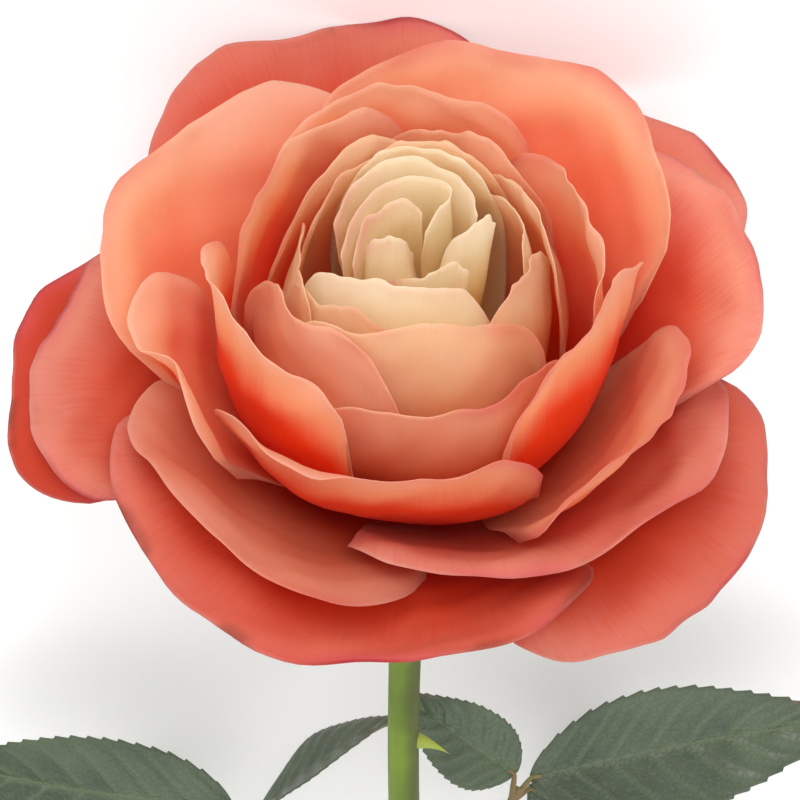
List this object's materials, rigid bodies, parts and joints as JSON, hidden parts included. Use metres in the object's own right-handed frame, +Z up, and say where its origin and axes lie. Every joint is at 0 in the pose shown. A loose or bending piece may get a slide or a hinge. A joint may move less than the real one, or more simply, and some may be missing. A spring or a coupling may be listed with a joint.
{
  "type": "cut rose",
  "caption": "Cut garden rose lying on its side: a cup-shaped open bloom of nested petals, sepals, a prickly stem and compound leaves.",
  "frame": {"origin": "on the surface the rose lies on, under the middle of its bounding box", "axes": "+Z up from the surface, +Y towards the bloom along the stem, +X to the right seen from above with the bloom at the far end"},
  "size_m": [0.1738, 0.392, 0.1036],
  "materials": {
    "guard_petal": "velvety matt coral red with paler rim and bruised edges",
    "petal": "velvety matt peach, deeper orange towards the foot, pink at the rim",
    "heart_petal": "velvety matt cream yellow with pink rims",
    "hip": "satin smooth green",
    "sepal": "slightly hairy matt green",
    "stem": "waxy satin yellow-green, purplish on one side",
    "leaf_stalk": "satin green-brown",
    "leaflet": "semi-gloss dark grey-green with lighter veins"
  },
  "bodies": {
    "root": {"petal_01": "guard_petal", "petal_02": "guard_petal", "petal_03": "guard_petal", "petal_04": "guard_petal", "petal_05": "guard_petal", "petal_06": "guard_petal", "petal_07": "guard_petal", "petal_08": "guard_petal", "petal_09": "guard_petal", "petal_10": "petal", "petal_11": "petal", "petal_12": "petal", "petal_13": "petal", "petal_14": "petal", "petal_15": "petal", "petal_16": "petal", "petal_17": "petal", "petal_18": "petal", "petal_19": "petal", "petal_20": "petal", "petal_21": "petal", "petal_22": "petal", "petal_23": "petal", "petal_24": "petal", "petal_25": "petal", "petal_26": "petal", "petal_27": "petal", "petal_28": "petal", "petal_29": "petal", "petal_30": "petal", "petal_31": "petal", "petal_32": "petal", "petal_33": "petal", "heart_petal_1": "heart_petal", "heart_petal_2": "heart_petal", "heart_petal_3": "heart_petal", "heart_petal_4": "heart_petal", "heart_petal_5": "heart_petal", "heart_petal_6": "heart_petal", "hip": "hip", "sepal_1": "sepal", "sepal_2": "sepal", "sepal_3": "sepal", "sepal_4": "sepal", "sepal_5": "sepal", "stem": "stem", "leaf_right_stalk": "leaf_stalk", "leaf_right_leaflet_1": "leaflet", "leaf_right_leaflet_2": "leaflet", "leaf_right_leaflet_3": "leaflet", "leaf_left_stalk": "leaf_stalk", "leaf_left_leaflet_1": "leaflet", "leaf_left_leaflet_2": "leaflet", "leaf_left_leaflet_3": "leaflet", "leaf_low_stalk": "leaf_stalk", "leaf_low_leaflet_1": "leaflet", "leaf_low_leaflet_2": "leaflet", "leaf_low_leaflet_3": "leaflet", "leaf_low_leaflet_4": "leaflet", "leaf_low_leaflet_5": "leaflet"}
  },
  "joints": []
}
